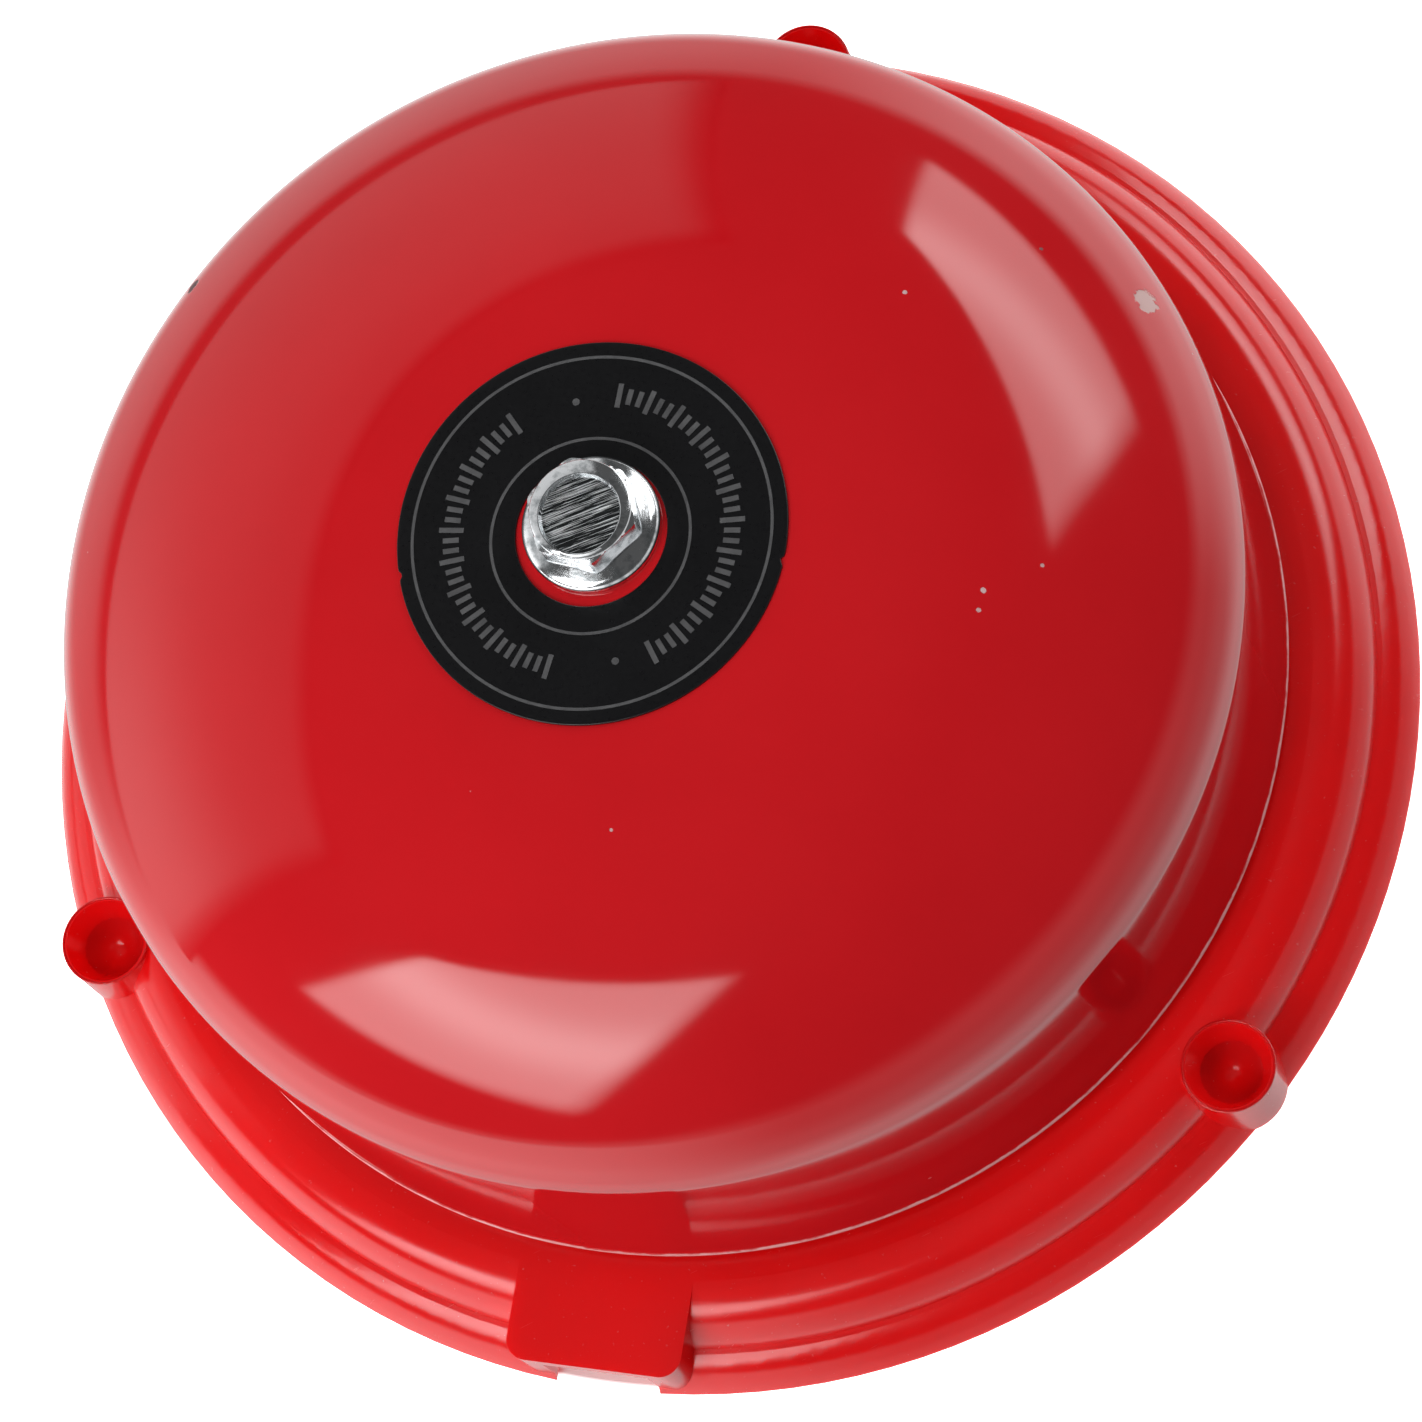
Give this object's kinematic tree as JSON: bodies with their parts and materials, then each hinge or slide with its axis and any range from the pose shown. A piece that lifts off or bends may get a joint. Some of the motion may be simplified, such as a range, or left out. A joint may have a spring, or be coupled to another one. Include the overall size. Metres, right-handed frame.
{
  "type": "fire alarm bell",
  "caption": "Round red alarm bell: domed steel gong over a stepped plastic base with three screw lugs, a cable outlet and a motor-driven striker inside.",
  "frame": {"origin": "on the bell axis in the wall plane, at the centre of the three screw holes", "axes": "+Z along the bell axis away from the wall, -Y towards the cable outlet, +X towards the striker"},
  "size_m": [0.12, 0.1204, 0.0512],
  "materials": {
    "base_plastic": "glossy moulded red ABS",
    "gong_paint": "high-gloss red enamel on steel",
    "label_black": "black satin printed label",
    "zinc_bolt": "bright zinc plate",
    "zinc_steel": "bright zinc plate",
    "galvanised_sheet": "galvanised sheet",
    "nickel_steel": "nickel-plated drawn steel",
    "polished_steel": "ground and polished",
    "spring_steel": "drawn spring wire",
    "laminated_steel": "stacked laminations",
    "ferrite": "sintered ferrite",
    "fibre": "vulcanised fibre",
    "brass": "plain turned brass",
    "bronze": "sintered bronze",
    "copper": "plain copper",
    "enamelled_copper": "enamelled copper wire",
    "carbon": "pressed carbon",
    "black_plastic": "satin moulded plastic",
    "white_acetal": "satin moulded acetal",
    "block_plastic": "moulded nylon",
    "red_wire": "PVC insulation",
    "black_wire": "PVC insulation",
    "capacitor_glaze": "dipped ceramic disc"
  },
  "bodies": {
    "bell_body": {"base_housing": "base_plastic", "gong": "gong_paint", "gong_label": "label_black", "gong_bolt": "zinc_bolt", "gong_spacer": "zinc_steel", "fibre_washer": "fibre", "threaded_insert": "brass", "chassis_plate": "galvanised_sheet", "chassis_screws": "zinc_steel", "back_cover_screws": "zinc_steel", "back_cover": "galvanised_sheet", "motor_can": "nickel_steel", "motor_end_cap": "black_plastic", "motor_terminals": "brass", "motor_bearings": "bronze", "motor_magnets": "ferrite", "motor_brushes": "carbon", "motor_screws": "zinc_steel", "rod_bush": "black_plastic", "striker_spring": "spring_steel", "terminal_block": "block_plastic", "terminal_screws": "zinc_steel", "lead_red": "red_wire", "lead_black": "black_wire", "polarity_diode": "black_plastic", "suppression_capacitor": "capacitor_glaze"},
    "rotor": {"motor_shaft": "polished_steel", "rotor_core": "laminated_steel", "rotor_windings": "enamelled_copper", "motor_commutator": "copper", "snail_cam": "white_acetal"},
    "striker": {"striker_slider": "white_acetal", "striker_rod": "polished_steel", "tail_rod": "polished_steel", "striker_tip": "polished_steel", "follower_pin": "polished_steel"},
    "roller": {"follower_roller": "brass"}
  },
  "joints": [
    {"name": "cam_turn", "type": "hinge", "parent": "bell_body", "child": "rotor", "pos_m": [0, 0, 0.0195], "axis": [0, 0, 1], "range_deg": [0, 300]},
    {"name": "striker_slide", "type": "slide", "parent": "bell_body", "child": "striker", "axis": [-1, 0, 0], "range_m": [0, 0.004], "stiffness_N_per_m": 150, "springref_m": -0.003, "deforming": ["striker_spring"]},
    {"name": "roller_spin", "type": "hinge", "parent": "striker", "child": "roller", "pos_m": [-0.007, 0, 0.0195], "axis": [0, 0, 1], "continuous": true}
  ],
  "couplings": [
    {"joint": "cam_turn", "follows": "striker_slide", "rad_per_m": 1309}
  ]
}
